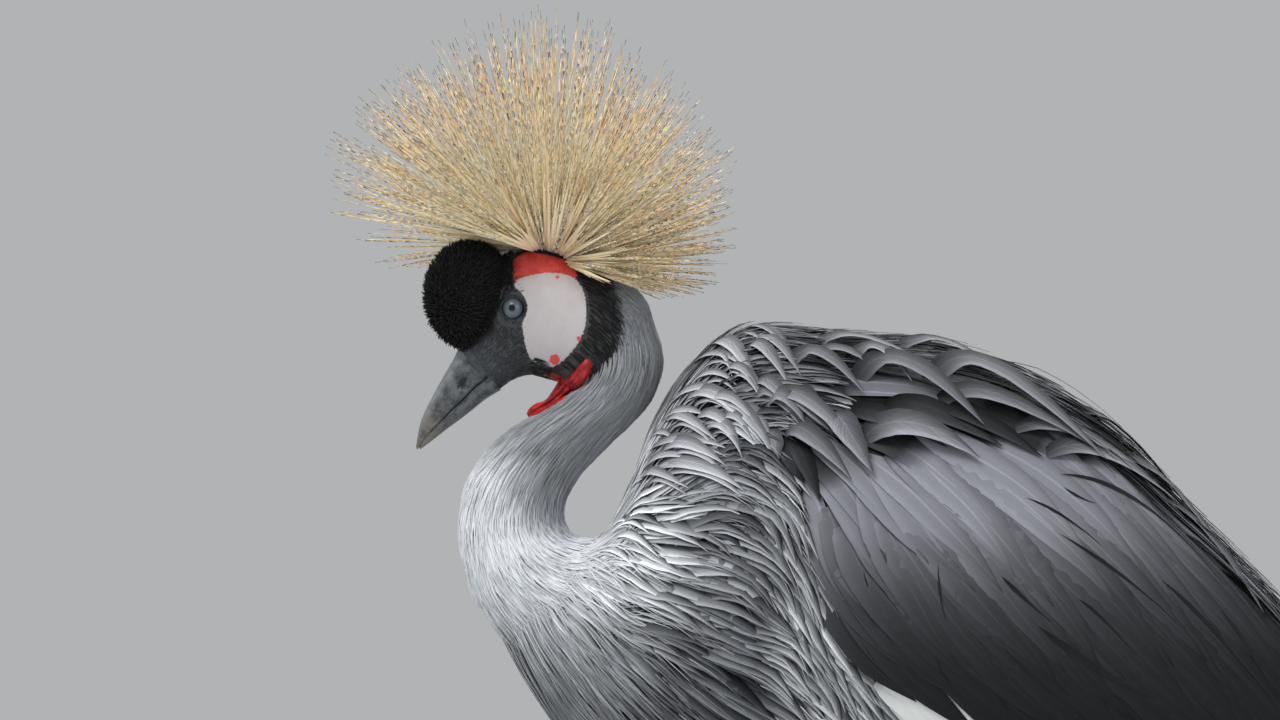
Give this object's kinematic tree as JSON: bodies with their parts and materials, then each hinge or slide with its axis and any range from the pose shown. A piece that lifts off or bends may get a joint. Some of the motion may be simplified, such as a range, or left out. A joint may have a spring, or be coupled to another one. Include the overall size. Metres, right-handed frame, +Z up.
{
  "type": "grey crowned crane",
  "caption": "Life-size standing crane with a drawn-in neck, fanned bristle crest, folded wings, long bare legs and flat-soled toes.",
  "frame": {"origin": "on the floor, under the middle of the bounding box", "axes": "+Z up, the bird faces -Y, its left side is +X"},
  "size_m": [0.2234, 0.6728, 0.8208],
  "materials": {
    "body_feathers": "matte",
    "neck_feathers": "matte",
    "head_feathers": "matte",
    "velvet_cap": "matte",
    "bill_horn": "satin",
    "wattle_skin": "satin",
    "crest_bristles": "matte",
    "tail_feathers": "matte",
    "eyes": "gloss",
    "white_cheek_skin": "matte",
    "red_cheek_skin": "matte",
    "slate_feathers": "matte",
    "white_feathers": "matte",
    "gold_feathers": "matte",
    "chestnut_feathers": "matte",
    "black_feathers": "matte",
    "thigh_feathers": "matte",
    "leg_scales": "matte",
    "foot_scales": "matte",
    "claw_horn": "satin"
  },
  "bodies": {
    "root": {"torso": "body_feathers", "neck_upper": "neck_feathers", "neck_middle": "neck_feathers", "neck_base": "neck_feathers", "head": "head_feathers", "forehead_cap": "velvet_cap", "bill_upper": "bill_horn", "bill_lower": "bill_horn", "throat_wattle": "wattle_skin", "crest": "crest_bristles", "tail": "tail_feathers", "eye_left": "eyes", "eye_right": "eyes", "cheek_white_left": "white_cheek_skin", "cheek_white_right": "white_cheek_skin", "cheek_red_left": "red_cheek_skin", "cheek_red_right": "red_cheek_skin", "scapulars_left": "slate_feathers", "scapulars_right": "slate_feathers", "wing_coverts_left": "white_feathers", "wing_coverts_right": "white_feathers", "wing_gold_left": "gold_feathers", "wing_gold_right": "gold_feathers", "wing_secondaries_left": "chestnut_feathers", "wing_secondaries_right": "chestnut_feathers", "wing_primaries_left": "black_feathers", "wing_primaries_right": "black_feathers", "thigh_left": "thigh_feathers", "thigh_right": "thigh_feathers", "tibia_left": "leg_scales", "tibia_right": "leg_scales", "tarsus_left": "leg_scales", "tarsus_right": "leg_scales", "foot_left": "foot_scales", "foot_right": "foot_scales", "claw_middle_left": "claw_horn", "claw_middle_right": "claw_horn", "claw_inner_left": "claw_horn", "claw_inner_right": "claw_horn", "claw_outer_left": "claw_horn", "claw_outer_right": "claw_horn", "claw_hind_left": "claw_horn", "claw_hind_right": "claw_horn"}
  },
  "joints": []
}
